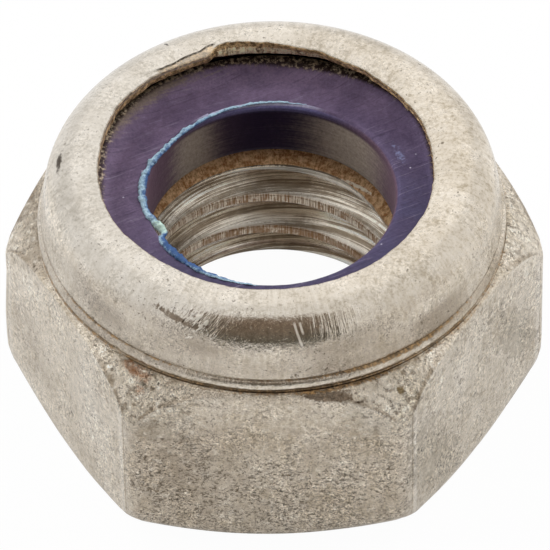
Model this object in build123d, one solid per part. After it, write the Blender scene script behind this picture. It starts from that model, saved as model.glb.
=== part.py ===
from build123d import *
import os
from math import cos, radians, sin, tan

# Hexagon lock nut with a nylon insert, M8 x 1.25. Millimetres, +Z up along the thread axis.
# The origin is the centre of the bearing face; two flats face -Y and +Y, two corners lie on X.
# It is two pieces: the steel nut, pressed, tapped and rolled over at the top from one slug, and
# the nylon ring shut in under its rolled edge.

# ---- Hexagon ------------------------------------------------------------------------------
across_flats = 12.9          # for a 13 mm spanner, as made
hex_height = 5.78            # bearing face to the foot of the collar
corner_radius = 0.5          # rounding of the six upright edges
bearing_inset = 0.35         # the bearing circle lies this far inside the flats
bearing_chamfer_angle = 30   # degrees up from the bearing face
crown_radius = 2.1           # rounded shoulder that the upper corners are pressed to
crown_start_angle = 29       # degrees down from level, where the shoulder leaves the collar
crown_sweep = 55             # degrees that the shoulder turns on its way past the corners

# ---- Collar, drawn up from the hexagon and rolled over the insert -------------------------
band_inset = 0.09            # the raised band at the collar's foot lies inside the flats
band_height = 0.3
band_step = 0.1              # from the band in to the collar's wall
wall_height = 0.72           # nearly upright stretch of the wall
wall_lean = 0.1              # how far that stretch leans in
wall_thickness = 0.8         # of the wall and of its rolled edge
bend_radius = 0.4            # inside of the roll
lip_reach = 0.36             # the rolled edge reaches this far in past its bend
lip_fall = 0.06              # and dips this much

# ---- Nylon insert -------------------------------------------------------------------------
insert_thickness = 1.75
insert_bore_diameter = 6.74  # under the screw's size, so that the thread presses its own way in
insert_edge_break = 0.12
insert_rim_clearance = 0.02  # between the ring and the wall around it
insert_lip_gap = 0.36        # between the ring's face and the rolled edge above it

# ---- Threaded hole ------------------------------------------------------------------------
thread_minor_diameter = 6.8  # the bore at the crests of an M8 x 1.25 nut thread
bearing_countersink_diameter = 9.0
seat_countersink_diameter = 8.1
countersink_half_angle = 45  # degrees from the axis

# ---- Places that follow from these sizes --------------------------------------------------
flat_radius = across_flats / 2
bearing_radius = flat_radius - bearing_inset
band_radius = flat_radius - band_inset
wall_foot_radius = band_radius - band_step
wall_top_radius = wall_foot_radius - wall_lean
pocket_radius = wall_top_radius - wall_thickness
bend_centre_radius = pocket_radius - bend_radius
lip_radius = bend_centre_radius - lip_reach

band_top = hex_height + band_height
bend_start = band_top + wall_height
lip_underside = bend_start + bend_radius
nut_height = lip_underside + wall_thickness
insert_top = lip_underside - insert_lip_gap
insert_seat = insert_top - insert_thickness

cutter_overrun = 1.0         # cutters run this far past the faces that they open


def turned(*outline):
    """The solid that a closed outline of (radius, height) edges sweeps around the Z axis."""
    return revolve(Plane.XZ * make_face(outline), axis=Axis.Z)


def countersink_depth(mouth_diameter):
    """How deep a countersink of this mouth goes before it meets the threaded bore."""
    return (mouth_diameter - thread_minor_diameter) / 2 / tan(radians(countersink_half_angle))


def hexagon_bar():
    """Hexagonal bar with rounded upright edges."""
    sharp = RegularPolygon(flat_radius, side_count=6, major_radius=False)
    return extrude(fillet(sharp.vertices(), corner_radius), amount=hex_height)


def pressed_envelope():
    """The round form that the bar is pressed into: it chamfers the corners around the bearing
    face and crowns them at the top, down from the foot of the collar."""
    fall = radians(crown_start_angle)
    crown = JernArc((band_radius, hex_height), (cos(fall), -sin(fall)), crown_radius, -crown_sweep)
    crown_end = crown @ 1
    chamfer_rise = (crown_end.X - bearing_radius) * tan(radians(bearing_chamfer_angle))
    below = Polyline((0, hex_height), (0, 0), (bearing_radius, 0),
                     (crown_end.X, chamfer_rise), crown_end)
    return turned(below, crown, Line((band_radius, hex_height), (0, hex_height)))


def collar_blank():
    """The collar's outside, still filled: a low band, a wall that leans in, and the back of
    the roll."""
    wall = Polyline((0, nut_height - lip_fall), (0, hex_height), (band_radius, hex_height),
                    (band_radius, band_top), (wall_foot_radius, band_top),
                    (wall_top_radius, bend_start))
    roll = CenterArc((bend_centre_radius, bend_start), bend_radius + wall_thickness, 0, 90)
    lip_top = Polyline(roll @ 1, (lip_radius, nut_height - lip_fall), (0, nut_height - lip_fall))
    return turned(wall, roll, lip_top)


def insert_pocket():
    """The room under the rolled edge: the insert's seat, the wall around it, the inside of the
    roll, and the opening that the lip leaves."""
    wall = Polyline((0, insert_seat), (pocket_radius, insert_seat), (pocket_radius, bend_start))
    bend = CenterArc((bend_centre_radius, bend_start), bend_radius, 0, 90)
    opening = Polyline(bend @ 1, (lip_radius, lip_underside),
                       (lip_radius, nut_height + cutter_overrun),
                       (0, nut_height + cutter_overrun), (0, insert_seat))
    return turned(wall, bend, opening)


def threaded_bore():
    """The bore at the thread's crests, countersunk at the bearing face and at the seat."""
    crest = thread_minor_diameter / 2
    bearing_mouth = bearing_countersink_diameter / 2
    seat_mouth = seat_countersink_diameter / 2
    lower_end = countersink_depth(bearing_countersink_diameter)
    upper_end = insert_seat - countersink_depth(seat_countersink_diameter)
    return turned(Polyline((0, -cutter_overrun), (bearing_mouth, -cutter_overrun),
                           (bearing_mouth, 0), (crest, lower_end), (crest, upper_end),
                           (seat_mouth, insert_seat), (0, insert_seat), (0, -cutter_overrun)))


def nut_body():
    """The steel nut: hexagon, rolled collar and countersunk bore in one piece."""
    blank = (hexagon_bar() & pressed_envelope()) + collar_blank()
    return blank - insert_pocket() - threaded_bore()


def nylon_insert():
    """The ring that grips the screw, with its edges broken, flat on its seat."""
    rim = pocket_radius - insert_rim_clearance
    bore = insert_bore_diameter / 2
    ring = turned(Polyline((bore, insert_seat), (rim, insert_seat), (rim, insert_top),
                           (bore, insert_top), (bore, insert_seat)))
    return chamfer(ring.edges().filter_by(GeomType.CIRCLE), insert_edge_break)


os.makedirs("parts", exist_ok=True)
export_step(nut_body(), "parts/nut_body.step")
export_step(nylon_insert(), "parts/nylon_insert.step")
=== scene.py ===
"""Hexagon lock nut with a nylon insert, M8 x 1.25, dressed over its CAD solids.

Lengths are worked out in millimetres and turned to metres as each mesh is made. The thread axis
is Z, the origin is the middle of the bearing face, and two corners of the hexagon lie on X.
"""
import bpy, bmesh
import numpy as np
from mathutils import Euler, Matrix, Vector


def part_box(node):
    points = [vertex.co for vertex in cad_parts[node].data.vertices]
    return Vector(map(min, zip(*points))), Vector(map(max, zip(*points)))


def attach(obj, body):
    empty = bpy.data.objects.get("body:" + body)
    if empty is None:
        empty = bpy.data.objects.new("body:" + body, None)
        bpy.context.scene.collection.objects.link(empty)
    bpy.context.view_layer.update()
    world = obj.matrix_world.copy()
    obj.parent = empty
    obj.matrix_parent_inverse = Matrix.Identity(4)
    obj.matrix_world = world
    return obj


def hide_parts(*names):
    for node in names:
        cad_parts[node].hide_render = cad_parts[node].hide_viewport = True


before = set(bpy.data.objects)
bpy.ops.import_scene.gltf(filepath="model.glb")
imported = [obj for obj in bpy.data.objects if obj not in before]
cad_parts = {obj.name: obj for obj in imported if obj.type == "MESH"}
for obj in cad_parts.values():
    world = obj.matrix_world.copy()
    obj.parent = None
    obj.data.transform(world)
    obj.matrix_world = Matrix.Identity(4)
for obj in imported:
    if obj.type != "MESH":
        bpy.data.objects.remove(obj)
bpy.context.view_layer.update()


# ---- Steel nut ------------------------------------------------------------------------------
# The body is pressed cold from a slug of A2 stainless bar: hexagon, crowned shoulder and drawn-up
# collar in one piece. It is drilled and tapped, and the collar is then rolled in over the insert,
# which leaves the rolled edge uneven and torn in one place.

mm = 0.001
steel_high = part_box("nut_body")[1]
flat_radius = steel_high.y / mm
top = steel_high.z / mm
corner_rounding = 0.5
bearing_circle = 6.1             # radius
chamfer_slope = np.tan(np.radians(30))
crown_centre, crown_rise, crown_rounding = 5.342, 3.943, 2.1
collar_foot = 5.78
band_radius, band_top = 6.36, 6.08
wall_foot, wall_top, wall_end = 6.26, 6.16, 6.8
roll_centre, roll_outside, roll_inside = 4.96, 1.2, 0.4
lip_underside = 7.2
pocket_radius, seat = 5.36, 5.09
bearing_mouth, seat_mouth = 4.5, 4.05

# Columns from each corner (0 degrees) to the middle of its flat, close together at the border of
# the corner's rounding (1.96 degrees), and mirrored.
half = np.concatenate([[0, 0.45, 0.9, 1.4, 1.78, 1.88, 2.04, 2.14, 2.5, 3.1, 3.8],
                       np.linspace(4.6, 30, 30)])
sixth = np.concatenate([half, 60 - half[-2:0:-1]])
angle = np.radians(np.append((sixth + 60 * np.arange(6)[:, None]).ravel(), 360))
degrees = np.degrees(angle)
dice = np.random.default_rng(8125)


def hexagon_radius(angle):
    """Distance from the axis to a rounded hexagon: the flat's distance over the cosine of the
    angle from its middle, and near a corner the far side of the rounding circle."""
    turn = np.mod(angle + np.pi / 6, np.pi / 3) - np.pi / 6
    flat = flat_radius / np.cos(np.pi / 6 - np.abs(turn))
    centre = (flat_radius - corner_rounding) / np.cos(np.pi / 6)
    left = np.maximum(corner_rounding ** 2 - (centre * np.sin(turn)) ** 2, 0)
    ends = np.arctan2(corner_rounding / 2, centre + corner_rounding * np.cos(np.pi / 6))
    return np.where(np.abs(turn) < ends, centre * np.cos(turn) + np.sqrt(left), flat)


def hump(angle, middle, width):
    """A smooth bump of height 1: exp(-(distance round from the middle / width) ^ 2), degrees."""
    away = np.mod(np.degrees(angle) - middle + 180, 360) - 180
    return np.exp(-(away / width) ** 2)


def ragged(angle, waves, dice):
    """Uneven line round the axis: the mean of sines of whole wave numbers and random phases."""
    waves = np.asarray(waves)[:, None]
    phase = dice.uniform(0, 2 * np.pi, waves.shape)
    return np.mean(np.sin(waves * angle[None] + phase) * np.sqrt(waves[0] / waves), axis=0)


def ring(radius, height):
    """One ring of the section: (radius, height) at every column."""
    return np.stack([radius + 0 * angle, height + 0 * angle], axis=-1)


def run(start, end, count):
    """Rings from start towards end: start + share * (end - start), the share from 0 up to but
    not with 1."""
    share = np.arange(count) / count
    return start + share[:, None, None] * (end - start)


def bend(radius, height, size, first, last, count):
    """Rings on an arc: centre + size * (cos, sin) of an angle from first towards last."""
    turn = np.radians(first + (last - first) * np.arange(count) / count)[:, None]
    return np.stack([radius + size * np.cos(turn) + 0 * angle,
                     height + size * np.sin(turn) + 0 * angle], axis=-1)


def soft_least(first, second, width):
    """The smaller of two radii, eased over a width where they are nearly the same: their blend,
    less width * share * (1 - share)."""
    share = np.clip(0.5 + 0.5 * (second - first) / width, 0, 1)
    return second + (first - second) * share - width * share * (1 - share)


def pressed_side(height):
    """Ring radius on the hexagon's side and crowned shoulder: the hexagon, or the crown's arc,
    centre + root of (size squared less height above its middle squared), where that is less.
    Below its middle the arc leans out by 0.6 of the way down, clear of the hexagon. The two meet
    in a crisp line, apart from the middle of the front."""
    above = height - crown_rise
    arc = crown_centre + np.sqrt(np.maximum(crown_rounding ** 2 - np.maximum(above, 0) ** 2, 0))
    arc = arc + 0.6 * np.maximum(-above, 0)
    return soft_least(side, arc, 0.015 + 0.16 * hump(angle, 270, 17))


# The side is a little taller where its foot drops over the bearing chamfer. The crown meets each
# side in an arch, and the press has left a fine line on it. Another line runs down each border,
# with a low ridge beside it at left and right. The corner at -X is pressed rounder near its top.
side = hexagon_radius(angle)
foot_drop = np.interp(degrees, [0, 60, 180, 210, 235, 240, 250, 268, 285, 300, 304, 330, 360],
                      [0.3, 0.15, 0.24, 0.2, 0.26, 0.15, 0.1, 0.04, 0, 0, 0.18, 0.1, 0.3])
side_foot = np.maximum((side - bearing_circle) * chamfer_slope - foot_drop, 0.02)
groove = 0.048 + 0.024 * ragged(angle, [3, 7, 11, 17, 37, 71], dice)
upper_groove = 0.3 + 0.65 * hump(angle, 228, 18) + 0.3 * hump(angle, 268, 14) \
    + 0.85 * hump(angle, 303, 20)
lift = 0.07 * hump(angle, 218, 24)
from_corner = np.abs(np.mod(degrees + 30, 60) - 30)
border_line = (np.abs(from_corner - 1.96) < 0.1) * 0.006
outer_flat = (np.abs(degrees - 90) > 30) & (np.abs(degrees - 270) > 30)
ridge = outer_flat * np.interp(from_corner, [1.96, 2.5, 3.1, 3.8, 4.6], [0, 1, 1, 0.3, 0])
arch = crown_rise + np.sqrt(crown_rounding ** 2 - (side - crown_centre) ** 2)
above_arch = np.concatenate([[-0.02, 0, 0.02, 0.045, 0.08], np.linspace(0.13, 1, 15)])[:, None]
heights = np.concatenate([run(ring(0, side_foot), ring(0, 4.25), 9)[..., 1],
                          run(ring(0, 4.25), ring(0, arch - 0.03), 12)[..., 1],
                          arch + (collar_foot - 0.05 - arch) * above_arch])
rounder = 0.11 * hump(angle, 174, 13) * np.clip((heights - 2.2) / 1.6, 0, 1)
sides = np.stack([pressed_side(heights) - rounder, heights], axis=-1)
sides[:, :, 0] += (0.012 * ridge - border_line) * (heights < arch)
pressed = np.clip((collar_foot - arch) / 0.3 - 0.3, 0, 1) * np.clip((from_corner - 1.5) / 0.6, 0, 1) \
    * (1 - 0.7 * hump(angle, 270, 17))
arch_row, groove_row = 21, 23    # the first of two rows, in the sides, at the arch and above it
sides[groove_row:groove_row + 2, :, 0] -= 0.012 * pressed
flank = np.concatenate([
    run(ring(bearing_mouth, 0), ring(bearing_circle, 0), 6),
    run(ring(bearing_circle, 0), ring(side, side_foot), 6), sides])
# The edges around the bearing face are worn round: each ring moves to the mean of its own place,
# taken twice, and its two neighbours'.
softened = flank.copy()
for _ in range(2):
    softened[1:14] = (softened[:13] + 2 * softened[1:14] + softened[2:15]) / 4

# The collar's foot: a pressed groove, the raised band, and a shallower groove above it.
foot_lines = np.stack([ring(*place) for place in (
    (band_radius + 0.012, collar_foot - 0.05), (band_radius - 0.2 * groove, collar_foot - 0.02),
    (band_radius - groove, collar_foot + 0.005), (band_radius - 0.4 * groove, collar_foot + 0.03),
    (band_radius - 0.005, collar_foot + 0.07), (band_radius, collar_foot + 0.13),
    (band_radius - 0.015, band_top - 0.09), (band_radius - 0.045, band_top - 0.03),
    (wall_foot + 0.02, band_top - 0.005),
    (wall_foot - 0.7 * groove * upper_groove, band_top + 0.02),
    (wall_foot - 0.01, band_top + 0.045))])
foot_lines[1:, :, 1] += lift
collar = np.concatenate([
    run(ring(wall_foot, band_top + 0.08 + lift), ring(wall_top, wall_end), 7),
    bend(roll_centre, wall_end, roll_outside, 0, 90, 21)])

# The opening is a little off the axis. At the back its edge is torn, down to a slanting brown
# face. From the left end of that face a crack runs on in the top of the roll.
frayed = ragged(angle, [23, 41, 59, 83, 109], dice) + 0.5 * ragged(angle, [9, 14, 19], dice)
opening = 4.56 - 0.17 * np.cos(angle - np.radians(28)) + 0.03 * frayed \
    - 0.08 * hump(angle, 182, 20) - 0.02 * hump(angle, 42, 18) - 0.05 * hump(angle, 5, 14) \
    + 0.07 * hump(angle, 302, 34) - 0.11 * hump(angle, 229, 20)
tear_starts = 0.5 + 0.5 * np.tanh((degrees - 70) / 7)
tear_ends = 0.5 - 0.5 * np.tanh((degrees - 110.5) / 2.2)
torn_share = tear_starts * tear_ends
lip_edge = opening + torn_share * (0.08 + 0.19 * np.clip((degrees - 82) / 28, 0, 1)) \
    - 0.03 * hump(angle, 118, 8) + 0.05 * hump(angle, 150, 14) + 0.012 * torn_share * frayed
crack_line = np.interp(degrees, [60, 108, 112.5, 115.5, 121, 125.5, 130, 134, 139, 160],
                       [4.86, 4.86, 4.83, 4.73, 4.73, 4.69, 4.72, 4.81, 4.86, 4.86]) + 0.01 * frayed
crack = np.clip(2.5 * (degrees > 109.5) * hump(angle, 121, 15) ** 2, 0, 1)
tear_foot = lip_edge + 0.01 + torn_share * (4.62 - lip_edge) + 0.012 * frayed
tear_bottom = 7.66 + 0.02 * frayed - torn_share * np.interp(degrees, [90, 112], [0.1, 0])


def lip_height(radius):
    """The rolled edge dips inwards from the crest: top - 0.47 * (distance in from it) ^ 2."""
    return top - 0.47 * (roll_centre - radius) ** 2


def lip(radius, drop=0.0):
    """Ring on the top of the rolled edge, lowered by a drop."""
    return ring(radius, lip_height(radius) - drop)


rolled_edge = np.concatenate([
    run(lip(roll_centre), lip(crack_line + 0.03), 4),
    np.stack([lip(crack_line + 0.03), lip(crack_line + 0.014), lip(crack_line, 0.08 * crack),
              lip(crack_line - 0.022, 0.02 * crack)]),
    run(lip(crack_line - 0.05, 0.02 * crack), lip(lip_edge + 0.04, 0.004), 5),
    np.stack([lip(lip_edge + 0.04, 0.004), lip(lip_edge + 0.012, 0.012), lip(lip_edge, 0.035)]),
    run(lip(lip_edge, 0.05), ring(tear_foot, tear_bottom + 0.03), 7),
    np.stack([ring(tear_foot + 0.006, tear_bottom), ring(tear_foot + 0.03, tear_bottom - 0.03)]),
    run(ring(tear_foot + 0.06, tear_bottom - 0.05), ring(roll_centre + 0.06, lip_underside), 5)])
inside = np.concatenate([
    bend(roll_centre, wall_end, roll_inside, 80, 0, 6),
    run(ring(pocket_radius, wall_end), ring(pocket_radius, seat), 4),
    run(ring(pocket_radius, seat), ring(seat_mouth, seat), 4)])

# Right-hand thread: 60 degrees between its flanks, flat at the crests where the drill left the
# hole, tapped a little past the screw's own size.
pitch, crest_radius, crest_flat, root_flat = 1.25, 3.4, 0.25, 0.21
crest_foot = 0.2075              # height of a crest's lower corner where the turn starts, on +X
flank_rise = (pitch - crest_flat - root_flat) / 2
thread_depth = flank_rise / np.tan(np.radians(30))


def thread_radius(phase):
    """Radius at a height above a crest's lower corner: the crest's radius, out along the upper
    flank, the root, and back along the lower flank, joined by straight lines."""
    places = [0, crest_flat, crest_flat + flank_rise, pitch - flank_rise, pitch]
    return crest_radius + thread_depth * np.interp(np.mod(phase, pitch), places, [0, 0, 1, 1, 0])


def bore_radius(height, phase):
    """The tapped hole: at each height the widest of the thread, with its corners worn by a mean
    over 0.03 mm, and of the two 45 degree countersinks."""
    thread = np.mean([thread_radius(phase + shift) for shift in (-0.015, 0, 0.015)], axis=0)
    return np.maximum(thread, np.maximum(bearing_mouth - height, seat_mouth - seat + height))


# Rings climb with the thread, and level rings stand at the edges of the two cones.
steps = np.array([0, 0.02, 0.1, 0.17, 0.23, 0.25, 0.27, 0.36, 0.55, 0.64, 0.75, 0.86, 0.95,
                  1.17, 1.23])
phases = np.sort((steps[:, None] + pitch * np.arange(-2, 4)).ravel())[::-1]
climb = pitch * angle / (2 * np.pi) + crest_foot
levels = np.array([0, 1.08, 1.1, 1.13, 4.37, 4.41, 4.44, 4.47, 4.52, 4.7, 4.9])[:, None]
thread_height = np.clip(np.concatenate([phases[:, None] + climb, levels + 0 * angle]), 0, seat)
thread_height = np.sort(thread_height, axis=0)[::-1]
tapped_hole = np.stack([bore_radius(thread_height, thread_height - climb), thread_height], axis=-1)

section = np.concatenate([softened, foot_lines, collar, rolled_edge, inside, tapped_hole])


def wrapped(section, angle):
    """Points of a section carried round the axis: x = r cos, y = r sin of the angle, and z."""
    return np.stack([section[..., 0] * np.cos(angle), section[..., 0] * np.sin(angle),
                     section[..., 1]], axis=-1)


def shares_of(**kinds):
    """Four shares at each point for every kind, held between 0 and 1."""
    return {kind: np.clip(np.stack(np.broadcast_arrays(*four), axis=-1).astype(float), 0, 1)
            for kind, four in kinds.items()}


def placed(name, data):
    """Puts a mesh, a lamp or a camera in the scene."""
    thing = bpy.data.objects.new(name, data)
    bpy.context.collection.objects.link(thing)
    return thing


def closed_piece(name, points, shares):
    """Piece from a grid of points in millimetres: each four neighbours make a face. The seam, and
    points that fall on each other, are merged. The shares become colour attributes."""
    rows, columns = points.shape[:2]
    corner = np.arange(rows * columns).reshape(rows, columns)
    faces = np.stack([corner[:-1, :-1], corner[:-1, 1:], corner[1:, 1:], corner[1:, :-1]],
                     axis=-1).reshape(-1, 4)
    mesh = bpy.data.meshes.new(name)
    mesh.from_pydata(points.reshape(-1, 3) * mm, [], faces)
    for kind, four in shares.items():
        mesh.attributes.new(kind, "FLOAT_COLOR", "POINT").data.foreach_set("color", four.ravel())
    welded = bmesh.new()
    welded.from_mesh(mesh)
    bmesh.ops.remove_doubles(welded, verts=welded.verts, dist=2e-7)
    bmesh.ops.recalc_face_normals(welded, faces=welded.faces)
    welded.to_mesh(mesh)
    welded.free()
    mesh.shade_smooth()
    return placed(name, mesh)


def near(value, middle, width):
    """exp(-((value - middle) / width) ^ 2)."""
    return np.exp(-((value - middle) / width) ** 2)


radius, height = section[..., 0], section[..., 1]


def patch(middle, width, level, tall):
    """1 in the middle of a soft oval on the steel: near its angle times near its height."""
    return near(degrees, middle, width) * near(height, level, tall)


def patches(*places):
    """The sum of soft ovals, each a strength and its patch."""
    return sum(strength * patch(*place) for strength, *place in places)


# Where the finish changes. The rolled edge has rows in the crack, next to it, on the opening's
# edge, on the whole of its face, and hidden under the roll.
rows = np.arange(len(section))[:, None]
lip_row = rows - (len(softened) + len(foot_lines) + len(collar))
in_crack, by_crack, on_edge, on_face = (
    (lip_row >= first) & (lip_row < end) for first, end in ((5, 7), (7, 14), (14, 17), (14, 25)))
outside = lip_row < 0
in_hole = rows >= len(section) - len(tapped_hole)
under_roll = (lip_row >= 26) & ~in_hole
on_nut = outside & (height < collar_foot - 0.02 + lift)
on_collar = outside & ~on_nut
shoulder = on_nut * np.clip((side - 6.6) / 0.5, 0, 1) * np.clip((height - 3.8) / 1.0, 0, 1)
front = on_nut * np.clip((33 - np.abs(degrees - 270)) / 3, 0, 1)
on_flats = on_nut * (height < arch)
in_mirror = on_collar * np.clip((height - 7.05) / 0.15, 0, 1) * np.clip((7.95 - height) / 0.15, 0, 1)

# Brown oxide stays in both grooves, wider in some places; along the opening's edge the brown line is
# partly painted shade, strongest towards +X.
uneven = 0.85 + 0.4 * ragged(angle, [4, 9, 15, 26, 43], dice)
rim_dirt = 0.3 + 0.6 * hump(angle, 32, 45) + 0.2 * hump(angle, 205, 40)
lower_width = 0.038 + 0.05 * hump(angle, 226, 20) + 0.035 * hump(angle, 285, 22) \
    + 0.03 * hump(angle, 340, 26)
upper_width = 0.036 + 0.04 * hump(angle, 306, 18)
grooves = outside * uneven * (
    (0.5 + 0.5 * hump(angle, 270, 55)) * near(height - lift, collar_foot - 0.01, lower_width)
    + upper_groove * near(height - lift, band_top + 0.025, upper_width)) \
    + on_edge * rim_dirt * (1 - torn_share)

# Metal is torn on the opening's face and beside the crack, and left rough on the thread's crests.
torn_face = on_face * (0.44 + 0.36 * torn_share + 0.25 * (lip_row > 18)) + by_crack * 0.45 * crack
crests = in_hole * np.clip((crest_radius + 0.05 - radius) / 0.04, 0, 1) * (height < 4.1)
rubbed = (lip_row < 14) * np.clip(0.5 * on_collar + np.clip((height - 7.35) / 0.5, 0, 1), 0, 1)
finish = [grooves, np.maximum(torn_face, crests), shoulder, rubbed]

# The rusty ledge under the insert, painted shade in the room under the roll, rust on the left
# shoulder with a painted highlight on the burr at the ledge, and dark gashes.
ledge = in_hole * np.clip((height - 4.44 + 0.32 * hump(angle, 28, 20)) / 0.02, 0, 1)
burr = in_hole * near(height, 4.425, 0.04) \
    * np.clip(1.5 * hump(angle, 108, 28) + 1.2 * hump(angle, 48, 13) - 0.1, 0, 1)
stain = on_nut * patches((0.8, 237, 6, 5.68, 0.13), (0.6, 240, 2, 5.4, 0.2)) + burr
gash = outside * patches((0.95, 177.5, 5.5, 7.72, 0.09), (1, 122.5, 0.6, 7.86, 0.08),
                         (0.75, 291.5, 2.6, 5.42, 0.08)) \
    + 0.75 * in_crack * crack
marks = [ledge, under_roll, stain, gash]

# Grime from being handled, with painted shade lower on the front and in ovals on the collar; pits,
# one brown spot, and painted highlights on the corners, ridges, arch lines and side flats, partly wear.
soiled = front * (0.2 - 0.1 * near(height, 5.0, 0.7) + 0.25 * patch(249, 10, 3.2, 1.8)) \
    + on_nut * (0.1 + 0.3 * near(degrees, 120, 30)
                + patches((0.45, 189, 14, 5.9, 0.4), (0.45, 170, 9, 5.4, 0.5),
                          # Painted shade in some of these collar ovals, at its front left and right.
                          (0.25, 192, 9, 2.8, 1.2), (-0.1, 178, 40, 4.2, 1.0))) \
    + shoulder * (0.3 * near(degrees, 205, 22) - 0.05 - 0.1 * near(degrees, 340, 20)) \
    + on_collar * patches(
        (0.5, 224, 13, 6.75, 0.4), (0.55, 316, 11, 6.6, 0.35), (0.3, 270, 60, 6.45, 0.45),
        (0.3, 100, 30, 6.5, 0.6), (0.45, 236, 20, 6.12, 0.2), (0.35, 198, 22, 6.05, 0.14),
        (0.3, 222, 9, 5.98, 0.15), (0.5, 316, 12, 6.15, 0.2), (0.5, 340, 14, 6.0, 0.12),
        (0.45, 287, 9, 6.3, 0.3), (0.45, 287, 12, 7.0, 0.35), (0.35, 256, 9, 7.0, 0.25),
        (0.4, 247, 10, 7.2, 0.5), (0.35, 215, 12, 7.15, 0.25), (0.3, 232, 12, 7.45, 0.2),
        (0.3, 300, 9, 7.3, 0.35), (0.25, 316, 10, 7.4, 0.25), (0.25, 338, 10, 7.2, 0.35))
pitting = on_nut * (0.3 + 0.7 * front * np.clip((4.9 - height) / 2.6, 0, 1)) + 0.2 * ~on_nut
spot = on_nut * patches((1, 301, 1.3, 5.36, 0.14), (0.8, 297.5, 0.7, 5.28, 0.05))
arch_line = np.isin(rows - (len(flank) - len(sides)), (arch_row, arch_row + 1))
# Painted highlight: the corner strips, the ridges, the arch lines and two broad patches on the left and
# right flats; partly edge wear.
worn = on_nut * np.clip((arch - height) / 0.2 + 1, 0, 1) \
    * np.maximum(0.4 * (from_corner < 1.9), ridge) \
    + on_nut * patches((0.8, 222, 9, 3.6, 1.6), (0.6, 352, 7, 3.6, 1.6)) + arch_line * pressed
handling = [soiled, pitting, spot, worn]


def oval(across, up, width, length):
    """1 at the middle of an oval, a half on its edge: 1 - distance from the middle / 2. Its long
    side leans, so both distances are turned by the angle whose cosine is 0.81."""
    return 1 - np.hypot((0.81 * across + 0.58 * up) / width, (0.58 * across - 0.81 * up) / length) / 2


# Two scuffed ovals on the right-hand flat, the front of the roll polished, and the lines that the
# press left on the arches and down the borders.
across = radius * np.sin(angle - np.radians(330))
scuffs = on_nut * (np.abs(degrees - 330) < 30) * np.clip(
    np.maximum(oval(across - 2.1, height - 3.0, 0.6, 2.2),
               oval(across + 2.3, height - 1.9, 0.85, 1.8)), 0, 1)
polished = on_collar * near(degrees, 270, 38) * np.clip((height - 7.0) / 0.2, 0, 1) \
    * np.clip((8.0 - height) / 0.3, 0, 1)
lines = 0.9 * on_nut * pressed * near(height, arch + 0.07, 0.09) + on_flats * (
    0.6 * outer_flat * (border_line > 0) + 0.45 * (np.abs(degrees - 303.8) < 0.4))
skin = [scuffs, polished, on_flats, lines]

# Painted shade along the front's arch and in a wedge by the corner at 303 degrees, brown smears
# left and right of the mirror, scratches across the mirror at its two ends, and the side of the
# roll that faces -X, painted greyer and paler.
smears = on_nut * (near(degrees, 284, 8) * near(height, 5.63 - 0.008 * (degrees - 284), 0.14)
                   + 0.6 * patch(302.8, 1.6, 4.85, 0.25)) \
    + on_collar * (0.78 * near(degrees, 245, 8) * near(height, 7.57 - 0.012 * (degrees - 245), 0.12)
                   + patches((0.55, 254, 4, 7.62, 0.25), (0.45, 285, 3, 7.7, 0.2)))
# The -X side of the roll is painted greyer and paler.
cold_side = rubbed * (0.5 - 0.5 * np.cos(angle))
traces = [smears, in_mirror * near(degrees, 287, 4.5), cold_side, in_mirror * near(degrees, 252, 6)]

steel = closed_piece("steel_nut", wrapped(section, angle), shares_of(
    finish=finish, marks=marks, handling=handling, skin=skin, traces=traces))


def linear(code):
    """sRGB hex to linear RGBA: c / 12.92 up to 0.04045, above it ((c + 0.055) / 1.055) ^ 2.4."""
    parts = np.array([int(code[i:i + 2], 16) for i in (0, 2, 4)]) / 255
    parts = np.where(parts <= 0.04045, parts / 12.92, ((parts + 0.055) / 1.055) ** 2.4)
    return (*parts.tolist(), 1.0)


def add(tree, kind, settings=None, **sockets):
    """Adds one node: its settings are properties, and each socket, named or numbered (s0, s1),
    takes a value or another node's output."""
    node = tree.nodes.new(kind)
    for name, value in (settings or {}).items():
        setattr(node, name, value)
    for name, value in sockets.items():
        socket = node.inputs[int(name[1:]) if name[1:].isdigit() else name.replace("_", " ")]
        if isinstance(value, bpy.types.NodeSocket):
            tree.links.new(value, socket)
        else:
            socket.default_value = value
    return node


def shaded(piece, name):
    """Gives a piece a new material, and returns its nodes, its shader and the place on the piece
    in millimetres."""
    material = bpy.data.materials.new(name)
    material.use_nodes = True
    tree = material.node_tree
    piece.data.materials.clear()
    piece.data.materials.append(material)
    place = add(tree, "ShaderNodeTexCoord")
    local = add(tree, "ShaderNodeVectorMath", {"operation": "SCALE"},
                s0=place.outputs["Object"], Scale=1 / mm).outputs[0]
    return tree, tree.nodes["Principled BSDF"], local


def reads(tree, kind):
    """The four shares of a colour attribute."""
    shares = add(tree, "ShaderNodeAttribute", {"attribute_name": kind})
    split = add(tree, "ShaderNodeSeparateColor", s0=shares.outputs["Color"])
    return [*split.outputs, shares.outputs["Alpha"]]


def band(tree, value, low, high, first=0.0, last=1.0):
    """A value's run from low to high, smoothed, as first to last."""
    return add(tree, "ShaderNodeMapRange", {"interpolation_type": "SMOOTHSTEP"},
               s0=value, s1=low, s2=high, s3=first, s4=last).outputs[0]


def sums(tree, *terms):
    """Sum of products, from pairs of a value and its weight."""
    total = 0.0
    for value, weight in terms:
        total = add(tree, "ShaderNodeMath", {"operation": "MULTIPLY_ADD"}, s0=value, s1=weight,
                    s2=total).outputs[0]
    return total


def product(tree, first, second):
    """first * second."""
    return add(tree, "ShaderNodeMath", {"operation": "MULTIPLY"}, s0=first, s1=second).outputs[0]


def larger(tree, first, second):
    """The greater of two values."""
    return add(tree, "ShaderNodeMath", {"operation": "MAXIMUM"}, s0=first, s1=second).outputs[0]


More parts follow.
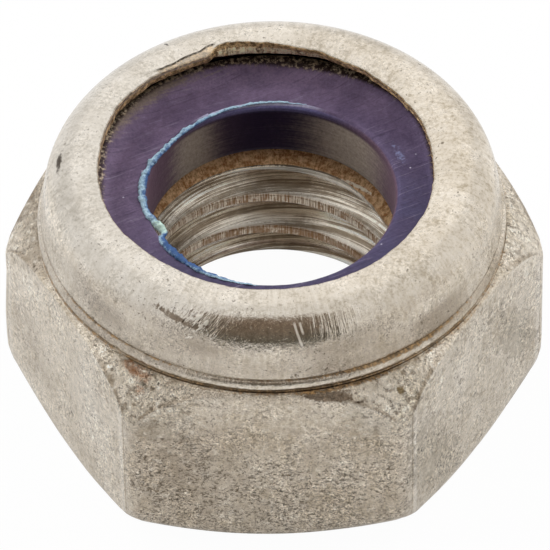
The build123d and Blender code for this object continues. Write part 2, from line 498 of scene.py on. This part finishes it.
def unsigned(tree, value):
    """A value without its sign."""
    return add(tree, "ShaderNodeMath", {"operation": "ABSOLUTE"}, s0=value).outputs[0]


def brightened(tree, colour, share):
    """colour * share."""
    return add(tree, "ShaderNodeVectorMath", {"operation": "SCALE"}, s0=colour,
               Scale=share).outputs[0]


def from_axis(tree, local):
    """Distance from the thread axis: the length of the place with its height taken out."""
    flat = add(tree, "ShaderNodeVectorMath", {"operation": "MULTIPLY"}, s0=local, s1=(1, 1, 0))
    return add(tree, "ShaderNodeVectorMath", {"operation": "LENGTH"},
               s0=flat.outputs[0]).outputs["Value"]


def carved(tree, shader, relief, *layers):
    """Gives the shader a relief in millimetres: a first one, plus value * share * depth for each
    layer."""
    for value, share, depth in layers:
        relief = sums(tree, (relief, 1.0), (product(tree, value, share), depth))
    bumps = add(tree, "ShaderNodeBump", Strength=1.0, Distance=mm, Height=relief)
    tree.links.new(bumps.outputs[0], shader.inputs["Normal"])


def over(tree, under, colour, share):
    """A colour laid over another by a share."""
    return add(tree, "ShaderNodeMix", {"data_type": "RGBA"}, s0=share, s6=under,
               s7=colour).outputs[2]


def coated(tree, colour, *coats):
    """A colour with others laid over it in turn, each by its share."""
    for code, share in coats:
        colour = over(tree, colour, linear(code), share)
    return colour


def noise(tree, place, scale, detail=3.0, rough=0.6, twist=0.0):
    """Noise of a scale per millimetre, which may differ along x, y and z, and may be twisted."""
    place = add(tree, "ShaderNodeMapping", Vector=place, Scale=np.multiply(scale, (1, 1, 1)).tolist())
    return add(tree, "ShaderNodeTexNoise", Vector=place.outputs[0], Scale=1.0, Detail=detail,
               Roughness=rough, Distortion=twist).outputs[0]


def spokes(tree, local, around, along):
    """Place for a pattern in spokes and upright streaks: the direction from the axis times the
    marks per millimetre round a 6 mm circle, and the height times the marks up a millimetre."""
    flat = add(tree, "ShaderNodeVectorMath", {"operation": "MULTIPLY"}, s0=local, s1=(1, 1, 0))
    flat = add(tree, "ShaderNodeVectorMath", {"operation": "NORMALIZE"}, s0=flat.outputs[0])
    flat = add(tree, "ShaderNodeVectorMath", {"operation": "SCALE"}, s0=flat.outputs[0],
               Scale=6 * around)
    return add(tree, "ShaderNodeVectorMath", {"operation": "MULTIPLY_ADD"}, s0=local,
               s1=(0, 0, along), s2=flat.outputs[0]).outputs[0]


# Pickled stainless steel, cold pressed: a satin grey metal with a warm cast, clouded by the pickle and
# by being handled, finely pitted, brown where oxide has stayed in the grooves. Painted shade and
# painted highlights are laid into its colour as well.
tree, shader, local = shaded(steel, "pickled_stainless_steel")
grooved, torn_metal, rough_skin, rubbed_collar = reads(tree, "finish")
_, sheltered, stained, gashed = reads(tree, "marks")
dirt, pitted, spotted, worn_edge = reads(tree, "handling")
scuffed, polish, flat_side, pressed_line = reads(tree, "skin")
smeared, scratched, cold, crossing = reads(tree, "traces")

clouds = noise(tree, local, 0.7)
mottle = noise(tree, local, 3.2, 5.0, 0.68)
grain = noise(tree, local, 11.0, 4.0, 0.7)
streaks = noise(tree, spokes(tree, local, 9.0, 1.1), 1.0)
tone = sums(tree, (clouds, 0.25), (mottle, 0.3), (grain, 0.32), (streaks, 0.13))
steel_tone = add(tree, "ShaderNodeValToRGB", s0=tone)
ramp = steel_tone.color_ramp
ramp.elements[0].position, ramp.elements[0].color = 0.41, linear("b2a590")
ramp.elements[1].position, ramp.elements[1].color = 0.59, linear("f2e9db")
ramp.elements.new(0.50).color = linear("dacfbe")


def eaten(share, depth, low, high):
    """A share with its edge broken up by the mottle and the grain, up to a depth."""
    return band(tree, sums(tree, (mottle, 0.9), (grain, 1.0), (share, 1.0)), low, high, 0.0, depth)


# Pits: crooked specks where fine noise dips, thick in some patches, and a few round holes.
specks = band(tree, sums(tree, (noise(tree, local, (12.0, 12.0, 17.0), 2.0), 1.0), (clouds, -0.25),
                         (mottle, -0.35), (pitted, -0.13), (1.0, 0.125)), 0.055, 0.125, 1.0, 0.0)
holes = add(tree, "ShaderNodeTexVoronoi", Vector=local, Scale=1.5)
chance = add(tree, "ShaderNodeSeparateColor", s0=holes.outputs["Color"]).outputs[0]
round_pits = product(tree, band(tree, holes.outputs["Distance"], 0.05, 0.09, 1.0, 0.0),
                     band(tree, sums(tree, (chance, 1.0), (pitted, 0.4)), 0.6, 0.75))
pits = larger(tree, specks, round_pits)

# Hair-thin crooked scratches on the flats, where smooth noise passes one value; and the scuffed
# patches, where the skin is dragged rough.
winding = add(tree, "ShaderNodeMath", {"operation": "PINGPONG"},
              s0=noise(tree, local, (1.5, 1.5, 0.9), 2.0, 0.5), s1=0.09).outputs[0]
hairs = band(tree, sums(tree, (winding, 1.0), (mottle, 0.02)), 0.0115, 0.016, 1.0, 0.0)
hairs = product(tree, hairs, band(tree, sums(tree, (streaks, 0.7), (flat_side, 0.5), (mottle, 0.5)),
                                  1.12, 1.2))
dragged = band(tree, sums(tree, (scuffed, 1.0), (mottle, 1.6), (clouds, 1.3)), 1.9, 2.0)

# Torn metal is brown and straw-coloured in crumbs, with bright edges.
broken = noise(tree, local, 7.0, 4.0, 0.7)
torn_tone = coated(
    tree, linear("6e532f"), ("e2bf8c", band(tree, broken, 0.4, 0.6)),
    ("fff0cc", band(tree, sums(tree, (torn_metal, 1.0), (streaks, 0.5), (grain, 0.5)), 1.4, 1.55)))
# From the skin outwards: painted highlights with some worn edges, grime with painted shade, the
# greyer -X side, scuffs, scratches, pressed lines, pits.
colour = coated(
    tree, steel_tone.outputs[0], ("ece4d8", band(tree, worn_edge, 0.0, 1.0, 0.0, 0.6)),
    ("83735f", eaten(dirt, 0.8, 0.85, 1.75)), ("d6d5d2", product(tree, cold, 0.4)),
    ("938a7b", product(tree, dragged, 0.4)), ("64543f", product(tree, hairs, 0.7)),
    ("806c53", band(tree, sums(tree, (pressed_line, 1.0), (mottle, 0.8)), 0.5, 1.5, 0.0, 0.6)),
    ("54452f", product(tree, pits, 0.68)))
# The pressed skin is creased, most on the shoulder: painted shade in the creases, painted highlight on
# their ridges.
crinkled = noise(tree, local, 5.0, 5.0)
hexagon_skin = sums(tree, (1.0, 1.0), (rubbed_collar, -1.2))
creased = sums(tree, (rough_skin, 0.68), (hexagon_skin, 0.42))
crevices = product(tree, creased, band(tree, crinkled, 0.36, 0.46, 1.0, 0.0))
raised = product(tree, creased, band(tree, crinkled, 0.56, 0.66))
# Over it lie painted shade and smears, oxide, rust, torn metal, the painted shade under the roll,
# gashes and a spot.
colour = coated(tree, colour, ("5a4830", product(tree, crevices, 0.5)),
                ("f6efe2", product(tree, raised, 0.55)), ("6b5a48", eaten(smeared, 0.85, 1.38, 1.6)))
oxide = over(tree, linear("5d4a33"), linear("9c7d56"), band(tree, grain, 0.42, 0.6))
colour = over(tree, colour, oxide, eaten(grooved, 0.9, 1.15, 1.6))
colour = over(tree, colour, linear("8f5c30"), eaten(stained, 0.75, 1.35, 1.75))
colour = over(tree, colour, torn_tone, band(tree, torn_metal, 0.3, 0.6))
# Painted shade under the roll, with pale specks.
shelter_tone = over(tree, linear("33281c"), linear("a08a68"), band(tree, grain, 0.48, 0.62))
colour = over(tree, colour, shelter_tone, sheltered)
colour = coated(tree, colour, ("3c3022", eaten(gashed, 0.95, 1.45, 1.75)),
                ("6a5426", eaten(spotted, 0.85, 1.4, 1.7)))
# A fine grain over all of it, coarse to the eye on the hexagon, in patches, and weak on the collar.
fine = noise(tree, local, 11.0, 3.0, 0.75, 1.2)
uneven_skin = noise(tree, local, 0.9, 3.0)
coarse = sums(tree, (1.0, 2.1), (rubbed_collar, -1.5), (rough_skin, 0.7), (dragged, 1.2),
              (pitted, 0.9))
coarse = product(tree, coarse, band(tree, uneven_skin, 0.4, 0.6, 0.45, 1.6))
coarse = product(tree, sums(tree, (fine, 1.0), (1.0, -0.5)), coarse)
colour = brightened(tree, colour, sums(tree, (1.0, 1.07), (coarse, 1.0), (rubbed_collar, -0.115)))
# Bright scratches across the polished front: upright ones at its right, slanting ones at its left,
# and between them two long ones, each a line east + 0.406 * height = offset.
east, north, up = add(tree, "ShaderNodeSeparateXYZ", s0=local).outputs
bright_lines = band(tree, sums(tree, (streaks, 1.0), (scratched, 0.25)), 0.8, 0.87, 0.0, 0.75)
slanting = add(tree, "ShaderNodeMapping", Vector=local, Rotation=(0, np.radians(-48), 0))
slanting = noise(tree, slanting.outputs[0], (9.0, 2.0, 2.5), 3.0, 0.7)
bright_lines = larger(tree, bright_lines, band(tree, sums(tree, (slanting, 1.0), (crossing, 0.3)),
                                               0.8, 0.86, 0.0, 0.75))
for offset, low_end in ((3.876, 7.15), (4.02, 7.45)):
    away = unsigned(tree, sums(tree, (east, 1.0), (up, 0.406), (1.0, -offset)))
    line = product(tree, band(tree, away, 0.012, 0.05, 1.0, 0.0),
                   band(tree, up, low_end, low_end + 0.08))
    line = product(tree, line, band(tree, up, 7.68, 7.76, 1.0, 0.0))
    line = product(tree, line, band(tree, north, -5.0, -4.9, 1.0, 0.0))
    bright_lines = larger(tree, bright_lines, line)
colour = over(tree, colour, linear("fbf4e8"), bright_lines)
tree.links.new(colour, shader.inputs["Base Color"])
tree.links.new(band(tree, torn_metal, 0.3, 0.7, 1.0, 0.15), shader.inputs["Metallic"])
tree.links.new(sums(tree, (1.0, 0.14), (mottle, 0.16), (rough_skin, 0.1), (torn_metal, 0.3),
                    (dirt, 0.08), (rubbed_collar, -0.05), (polish, -0.05), (dragged, 0.15),
                    (bright_lines, 0.4)),
               shader.inputs["Roughness"])

# Relief: mottle and grain, finest on the rubbed collar, the pits sunk in, a coarse skin on the
# shoulder, broken metal in the tear and the scuffs, and fine spokes rubbed into the roll.
smooth_collar = sums(tree, (rubbed_collar, 1.0), (polish, -0.75))
carved(tree, shader, sums(tree, (mottle, 0.012), (hairs, -0.012), (dragged, -0.012)),
       (pits, hexagon_skin, -0.025), (grain, hexagon_skin, 0.022), (fine, hexagon_skin, 0.013),
       (broken, dragged, 0.1), (grain, smooth_collar, 0.004), (crinkled, hexagon_skin, 0.05),
       (slanting, crossing, 0.05), (crinkled, rough_skin, 0.1), (streaks, scratched, 0.05),
       (broken, torn_metal, 0.08), (streaks, smooth_collar, 0.012))

# The tapped hole: cut steel with the tap's marks running round it, which draw its reflections out
# up and down. The crests are left rough by the drill, and the ledge at the top is rusty.
centres = np.zeros(len(steel.data.polygons) * 3)
steel.data.polygons.foreach_get("center", centres)
centres = centres.reshape(-1, 3) / mm
in_bore = (np.hypot(centres[:, 0], centres[:, 1]) < 4.2) & (centres[:, 2] > 0.3) \
    & (centres[:, 2] < seat)
tree, shader, local = shaded(steel, "tapped_stainless_steel")
steel.data.materials.clear()
for name in ("pickled_stainless_steel", "tapped_stainless_steel"):
    steel.data.materials.append(bpy.data.materials[name])
steel.data.polygons.foreach_set("material_index", in_bore.astype(int))
_, crest, _, _ = reads(tree, "finish")
on_ledge, _, burred, _ = reads(tree, "marks")
mottle = noise(tree, local, 2.6, 5.0, 0.68)
grain = noise(tree, local, 9.0, 4.0, 0.7)
turning = noise(tree, local, (0.2, 0.2, 26.0), 3.0, 0.75)
ribs = noise(tree, spokes(tree, local, 22.0, 1.5), 1.0, 2.0)
east, _, up = add(tree, "ShaderNodeSeparateXYZ", s0=local).outputs
worked_grain = sums(tree, (mottle, 1.0), (grain, 0.4))
cut_tone = coated(
    tree, linear("8d7f6d"),
    ("f0e8da", band(tree, sums(tree, (mottle, 0.2), (turning, 0.8)), 0.42, 0.57)),
    ("6a563c", band(tree, worked_grain, 0.78, 0.95, 0.0, 0.6)))
# The crests are ribbed by the drill. The lower turns are browner, with torn bright places.
crest_tone = coated(
    tree, linear("a5805c"), ("fff4e2", band(tree, sums(tree, (ribs, 0.7), (grain, 0.3)), 0.44, 0.56)),
    ("9c744c", band(tree, sums(tree, (mottle, 4.0), (up, -1.0)), -0.15, 0.2, 0.0, 0.7)))
# Deep in the thread the light comes from above, and in the middle of the back from the dark front.
cut_tone = brightened(tree, cut_tone, sums(
    tree, (band(tree, unsigned(tree, east), 0.4, 2.0, 0.5, 0.9), 1.0),
    (band(tree, from_axis(tree, local), 3.42, 3.8), 0.5)))
colour = over(tree, cut_tone, crest_tone, band(tree, crest, 0.2, 0.8, 0.0, 0.95))
rust = coated(
    tree, linear("a87548"),
    ("f4d0a2", band(tree, sums(tree, (grain, 0.6), (mottle, 0.2), (ribs, 0.2)), 0.4, 0.6)),
    ("33231a", band(tree, worked_grain, 0.5, 0.44, 0.0, 0.8)))
colour = over(tree, colour, rust, band(tree, on_ledge, 0.6, 1.0))
# Painted highlight, near white, on the burr at the ledge.
colour = over(tree, colour, linear("fff4e0"),
              band(tree, sums(tree, (burred, 0.7), (grain, 1.0)), 0.95, 1.1))
tree.links.new(colour, shader.inputs["Base Color"])
tree.links.new(sums(tree, (1.0, 1.0), (crest, -0.2), (on_ledge, -0.2)), shader.inputs["Metallic"])
tree.links.new(sums(tree, (1.0, 0.2), (mottle, 0.1), (crest, 0.12), (on_ledge, 0.25)),
               shader.inputs["Roughness"])


def runs_round(tree, shader, local, stretch):
    """Marks that run round the axis: the tangent is up crossed with the place, and the shader's
    stretch is turned a quarter from it."""
    tangent = add(tree, "ShaderNodeVectorMath", {"operation": "CROSS_PRODUCT"}, s0=(0, 0, 1), s1=local)
    tangent = add(tree, "ShaderNodeVectorTransform",
                  {"convert_from": "OBJECT", "convert_to": "WORLD"}, s0=tangent.outputs[0])
    tangent = add(tree, "ShaderNodeVectorMath", {"operation": "NORMALIZE"}, s0=tangent.outputs[0])
    tree.links.new(tangent.outputs[0], shader.inputs["Tangent"])
    shader.inputs["Anisotropic"].default_value = stretch
    shader.inputs["Anisotropic Rotation"].default_value = 0.25


runs_round(tree, shader, local, 0.85)
carved(tree, shader, sums(tree, (mottle, 0.008), (turning, 0.008)), (ribs, crest, 0.02),
       (grain, on_ledge, 0.05))

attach(steel, "root")
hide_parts("nut_body")


# ---- Nylon insert ---------------------------------------------------------------------------
# A ring moulded in dark violet nylon and bored to size, so its bore has fine turning marks. It
# lies on the seat and is shut in by the rolled edge.

insert_top, insert_bore, insert_rim, edge_break = 6.84, 3.37, 5.34, 0.12
angle = np.linspace(0, 2 * np.pi, 421)
chewed = 0.012 * ragged(angle, [11, 17, 29, 43, 61], dice)
upper_edge = insert_bore + edge_break * (0.75 - 0.35 * hump(angle, 190, 60)) + chewed
ring_section = np.concatenate([
    run(ring(insert_bore + 0.03, seat), ring(insert_rim - edge_break, seat), 4),
    run(ring(insert_rim - edge_break, seat), ring(insert_rim, seat + edge_break), 2),
    run(ring(insert_rim, seat + edge_break), ring(insert_rim, insert_top - edge_break), 4),
    run(ring(insert_rim, insert_top - edge_break), ring(insert_rim - edge_break, insert_top), 3),
    run(ring(insert_rim - edge_break, insert_top), ring(upper_edge + 0.05, insert_top), 16),
    run(ring(upper_edge + 0.05, insert_top), ring(upper_edge, insert_top - 0.015), 2),
    run(ring(upper_edge, insert_top - 0.015), ring(insert_bore, insert_top - edge_break), 3),
    run(ring(insert_bore, insert_top - edge_break), ring(insert_bore, seat + 0.03), 14),
    run(ring(insert_bore, seat + 0.03), ring(insert_bore + 0.03, seat), 2),
    ring(insert_bore + 0.03, seat)[None]])
radius, height = ring_section[..., 0], ring_section[..., 1]
rows = np.arange(len(ring_section))[:, None]
face = np.clip((height - 6.75) / 0.08, 0, 1)
# The roll has squeezed the ring's rim up, most at the left of the back.
squeezed = np.sin(np.pi / 2 * np.clip((radius - 4.3) / 0.62, 0, 1)) ** 2 \
    * np.clip((5.24 - radius) / 0.2, 0, 1) * (0.17 + 0.14 * hump(angle, 120, 55))
ring_section[..., 1] += squeezed * face
# Where its finish changes: steel dust at the roll, partly painted shade, the bore with painted
# sheen at two sides, and a painted highlight on the upper edge; the bluer front, painted light on
# the back, dust at the left of the back, and one scuff.
wall = (radius < 3.42) * (1 - face)
# Steel dust at the roll, partly painted shade, reaching furthest in at +X.
near_roll = face * (0.75 + 0.25 * hump(angle, 80, 70)) * np.clip(
    (radius - 4.74 + 0.5 * hump(angle, 5, 28) + 0.35 * hump(angle, 180, 22)
     + 0.2 * hump(angle, 82, 24)) / 0.25, 0, 1)
# Painted sheen: lighter grey on the bore's wall at two sides.
grey_wall = wall * np.clip(hump(angle, 131, 14) + hump(angle, 52, 24), 0, 1) \
    * np.clip((6.62 - height) / 0.12, 0, 1)
# Painted highlight along the bore's upper edge.
blue_edge = np.maximum(0.7 * wall * np.clip((height - 6.45) / 0.25, 0, 1),
                       (radius < 3.5) * np.clip((height - 6.72) / 0.05, 0, 1)) * hump(angle, 98, 55)
worked = [near_roll, wall, grey_wall, blue_edge]
bluer = np.clip(hump(angle, -25, 72) + hump(angle, -105, 50), 0, 1)
# Painted light: the back of the face is made lighter.
lit = face * np.clip((radius - 3.6) / 0.7, 0, 1) * hump(angle, 88, 50)
dusty = face * np.clip((radius - 4.4) / 0.4, 0, 1) * hump(angle, 136, 36)
scuffed = face * hump(angle, 24, 10) * near(radius, 3.75, 0.25)
tint = [bluer, lit, dusty, scuffed]
nylon = closed_piece("nylon_ring", wrapped(ring_section, angle), shares_of(worked=worked, tint=tint))

# Nylon 6 dyed violet: a deep even colour with a satin skin, fine turning marks and pale scuffs,
# steel dust with painted shade near the roll, and a bore with painted sheen and highlight.
tree, shader, local = shaded(nylon, "violet_nylon")
near_lip, bored, greyed, blue_rim = reads(tree, "worked")
blue_side, lit_face, dusted, scuffed_face = reads(tree, "tint")
east, north, _ = add(tree, "ShaderNodeSeparateXYZ", s0=local).outputs
dye = noise(tree, local, 1.2, 5.0)
grain = noise(tree, local, 9.0, 4.0, 0.7)
fibres = noise(tree, spokes(tree, local, 13.0, 1.0), 1.0, 3.0, 0.65)
turning = noise(tree, local, (0.25, 0.25, 14.0), 3.0, 0.65)
turned_place = add(tree, "ShaderNodeMapping", Vector=local, Rotation=(0, 0, np.radians(-28)))
scratches = noise(tree, turned_place.outputs[0], (0.7, 13.0, 1.0), 3.0, 0.7)
fine = noise(tree, local, 15.0, 3.0, 0.75)
dust = sums(tree, (dusted, 1.0), (scratches, 1.2), (grain, 0.8))
scrapes = sums(tree, (dye, 0.6), (grain, 0.8), (scuffed_face, 0.6))
# Painted light lightens the back of the face.
colour = coated(
    tree, linear("6c5b74"), ("46425f", blue_side), ("9c86a6", product(tree, lit_face, 0.8)),
    ("4a3e56", band(tree, dye, 0.38, 0.66, 0.0, 0.45)),
    ("9a90a6", band(tree, scratches, 0.56, 0.72, 0.0, 0.45)),
    ("2c2438", band(tree, scratches, 0.44, 0.3, 0.0, 0.4)),
    ("8f8070", band(tree, dust, 1.35, 1.9, 0.0, 0.85)),
    ("8f97c0", band(tree, scrapes, 1.12, 1.3, 0.0, 0.6)))
# White lint lies on the face, and steel dust with painted shade next to the roll.
dots = add(tree, "ShaderNodeTexVoronoi", Vector=local, Scale=1.9)
lint = product(tree, band(tree, dots.outputs["Distance"], 0.02, 0.06, 1.0, 0.0),
               sums(tree, (1.0, 1.0), (bored, -0.6)))
colour = over(tree, colour, linear("c9c4d6"), lint)
far_in = band(tree, from_axis(tree, local), 4.85, 5.05)
roll_dust = over(tree, linear("30221c"), linear("c4b299"),
                 band(tree, sums(tree, (grain, 0.75), (fibres, 0.25), (far_in, 0.07),
                                 (band(tree, east, 1.0, 4.0), -0.07)), 0.48, 0.62))
colour = over(tree, colour, roll_dust,
              band(tree, sums(tree, (near_lip, 1.0), (fibres, 0.6), (grain, 0.6)), 0.85, 1.3))
# The bore: dark, with painted reflections lighter towards left and right, painted sheen in two places
# and a painted highlight along the upper edge.
bore_tone = coated(
    tree, linear("221230"), ("64505e", band(tree, unsigned(tree, east), 0.4, 3.0)),
    ("a89c90", band(tree, sums(tree, (greyed, 1.0), (turning, 0.8), (grain, 0.3)), 0.6, 1.6)),
    ("9492c8", band(tree, sums(tree, (blue_rim, 1.0), (turning, 0.4)), 0.4, 1.1, 0.0, 0.9)))
colour = over(tree, colour, bore_tone, bored)
# Painted highlight, near white, on the upper edge.
colour = over(tree, colour, linear("dcdcfa"), band(tree, blue_rim, 0.68, 0.95, 0.0, 0.85))
# Painted shade: darker towards the front, with a grain over it.
colour = brightened(tree, colour, sums(tree, (band(tree, north, -3.6, -1.5, -0.15, 0.1), 1.0),
                                       (grain, 0.8), (fine, 1.0)))
tree.links.new(colour, shader.inputs["Base Color"])
shader.inputs["Roughness"].default_value = 0.42
tree.links.new(sums(tree, (1.0, 0.35), (bored, -0.25)), shader.inputs["Specular IOR Level"])
shader.inputs["Specular Tint"].default_value = linear("d2bcdc")
carved(tree, shader, product(tree, scratches, 0.012), (fibres, near_lip, 0.04),
       (turning, bored, 0.012))

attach(nylon, "root")
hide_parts("nylon_insert")


# ---- Shaving ----------------------------------------------------------------------------------
# A thread of nylon that the boring tool left standing on the insert's upper edge, pale where it
# is thin. It follows the edge round the left, and curls into the bore at one place.

share = np.linspace(0, 1, 620)
turn = np.radians(75 + 191 * share)
fray = ragged(turn, [29, 43, 61, 89, 127, 173], dice)
kinks = ragged(turn, [17, 31, 53, 83, 113], dice)
path_radius = np.interp(np.degrees(turn), [60, 97, 115, 133, 151, 163, 172, 186, 194, 199, 204.5, 207,
                                           209.5, 213, 233, 266],
                        [3.48, 3.45, 3.39, 3.34, 3.34, 3.46, 3.50, 3.48, 3.42, 3.32, 3.17, 3.16,
                         3.40, 3.42, 3.46, 3.48])
even = np.ones(9) / 9            # the path is smoothed by a mean over nine points
path_radius = np.convolve(np.pad(path_radius, len(even) // 2, "edge"), even, "valid") + 0.022 * kinks
path_height = insert_top + 0.01 - 0.16 * hump(turn, 206, 5) + 0.04 * fray
stretch = np.clip(hump(turn, 178, 30) + 0.7 * hump(turn, 205, 7) + 0.9 * hump(turn, 222, 14)
                  + 0.3 * hump(turn, 245, 14) + 0.25 * hump(turn, 135, 20), 0, 1.2)
thickness = (0.021 + 0.036 * stretch) * (1 + 0.65 * fray + 0.3 * kinks) \
    * np.sqrt(np.clip(np.minimum(share, 1 - share) / 0.12, 0.02, 1))
# A flattened tube round that path, closed to a point at both ends.
around_it = np.linspace(0, 2 * np.pi, 13)
out = path_radius[:, None] + 1.9 * thickness[:, None] * np.cos(around_it)
up = path_height[:, None] + thickness[:, None] * np.sin(around_it)
tube = np.stack([out * np.cos(turn)[:, None], out * np.sin(turn)[:, None], up], axis=-1)
first, last = (end.mean(axis=1, keepdims=True) + 0 * end for end in (tube[:1], tube[-1:]))
along = np.concatenate([turn[:1], turn, turn[-1:]])[:, None]
pulled = [0.5 + 0.5 * np.cos(around_it), hump(along, 203, 5), hump(along, 226, 16), hump(along, 85, 28)]
shaving = closed_piece("nylon_shaving", np.concatenate([first, tube, last]), shares_of(pulled=pulled))

# The same nylon, stress-whitened: pale blue where it was pulled thin, mint at the curl, still deep
# blue along the bore, and paler at its end at the back, partly a painted highlight.
tree, shader, local = shaded(shaving, "whitened_nylon")
outer_side, curl, deep, pale_end = reads(tree, "pulled")
pull = noise(tree, local, 7.0, 5.0, 0.75)
tone = sums(tree, (pull, 1.0), (outer_side, 0.35), (deep, -0.3), (pale_end, 0.2))
colour = over(tree, linear("2a5084"), linear("b0d0e2"), band(tree, tone, 0.46, 0.82))
colour = over(tree, colour, linear("c4e0d4"),
              band(tree, sums(tree, (curl, 0.6), (pull, 1.0)), 0.75, 1.1))
tree.links.new(colour, shader.inputs["Base Color"])
shader.inputs["Roughness"].default_value = 0.4
carved(tree, shader, product(tree, pull, 0.03))
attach(shaving, "root")


# ---- Floor, light and camera ------------------------------------------------------------------
# A plain pale table in a light tent: soft lamps at both sides and behind, and the open front,
# which the rounded steel shows as a dark stripe.


def sheet(name, *corners):
    """Flat piece between four corners."""
    mesh = bpy.data.meshes.new(name)
    mesh.from_pydata(corners, [], [(0, 1, 2, 3)])
    return placed(name, mesh)


reach, drop = 1.5, 0.02 * mm     # the drop keeps the table clear of the bearing face
floor = sheet("floor", (-reach, -reach, -drop), (reach, -reach, -drop), (reach, reach, -drop),
              (-reach, reach, -drop))
# White paper, matt. Eyes and polished metal see it nearer to plain white than its light makes it,
# so the background is white and the shadow on it is faint.
tree, shader, local = shaded(floor, "white_table_paper")
shader.inputs["Base Color"].default_value = linear("dcdcdc")
shader.inputs["Roughness"].default_value = 0.9
shader.inputs["Specular IOR Level"].default_value = 0.0
path = add(tree, "ShaderNodeLightPath").outputs
mirrored = larger(tree, path["Is Glossy Ray"], path["Is Transmission Ray"])
share = sums(tree, (mirrored, 0.48), (path["Is Camera Ray"], 0.97))
plain = add(tree, "ShaderNodeEmission", Color=(1, 1, 1, 1), Strength=1.0)
whitened = add(tree, "ShaderNodeMixShader", s0=share, s1=shader.outputs[0], s2=plain.outputs[0])
tree.links.new(whitened.outputs[0], tree.nodes["Material Output"].inputs["Surface"])

world = bpy.data.worlds.new("light_tent")
bpy.context.scene.world = world
world.use_nodes = True
tree = world.node_tree
background = tree.nodes["Background"]
background.inputs["Color"].default_value = (1, 1, 1, 1)
path = add(tree, "ShaderNodeLightPath").outputs
seen = larger(tree, path["Is Camera Ray"],
              larger(tree, path["Is Glossy Ray"], path["Is Transmission Ray"]))
level = add(tree, "ShaderNodeMapRange", s0=seen, s3=0.36, s4=0.95)
tree.links.new(level.outputs[0], background.inputs["Strength"])


def softbox(name, place, size, power):
    """Square area lamp of a size in metres, facing the middle of the nut."""
    lamp = bpy.data.lights.new(name, "AREA")
    lamp.size, lamp.energy = size, power
    lit = placed(name, lamp)
    lit.location = place
    lit.rotation_euler = (Vector(place) - Vector((0, 0, 4 * mm))).to_track_quat("Z", "Y").to_euler()
    lit.visible_glossy = False
    return lit


softbox("left_softbox", (-0.22, 0.12, 0.12), 0.32, 1.35)
softbox("right_softbox", (0.22, 0.14, 0.12), 0.32, 1.1)
softbox("back_softbox", (0.0, 0.22, 0.23), 0.4, 0.11).visible_glossy = True

# A dark card before the tent's open front, which only reflections see.
card = sheet("front_card", (-0.037, -0.06, 0.0005), (0.038, -0.06, 0.0005), (0.038, -0.06, 0.15),
             (-0.037, -0.06, 0.15))
tree, shader, local = shaded(card, "dark_card")
up = add(tree, "ShaderNodeSeparateXYZ", s0=local).outputs["Z"]
tree.links.new(over(tree, linear("484640"), linear("5e5145"), band(tree, up, 10.0, 80.0)),
               shader.inputs["Base Color"])
shader.inputs["Roughness"].default_value = 1.0
card.visible_camera = False

camera_data = bpy.data.cameras.new("camera")
camera_data.lens, camera_data.sensor_width = 466.28, 36.0
camera_data.clip_start, camera_data.clip_end = 0.01, 10.0
camera = placed("camera", camera_data)
aim = Vector((0.064, -0.181, 3.812)) * mm
azimuth, elevation, roll, distance = np.radians([2.027, 46.2, -1.103]).tolist() + [194.42 * mm]
turned = Euler((0, 0, azimuth)).to_matrix() @ Euler((np.pi / 2 - elevation, 0, 0)).to_matrix() \
    @ Euler((0, 0, roll)).to_matrix()
camera.matrix_world = Matrix.Translation(aim + turned @ Vector((0, 0, distance))) @ turned.to_4x4()
bpy.context.scene.camera = camera
bpy.context.scene.view_settings.view_transform = "Standard"
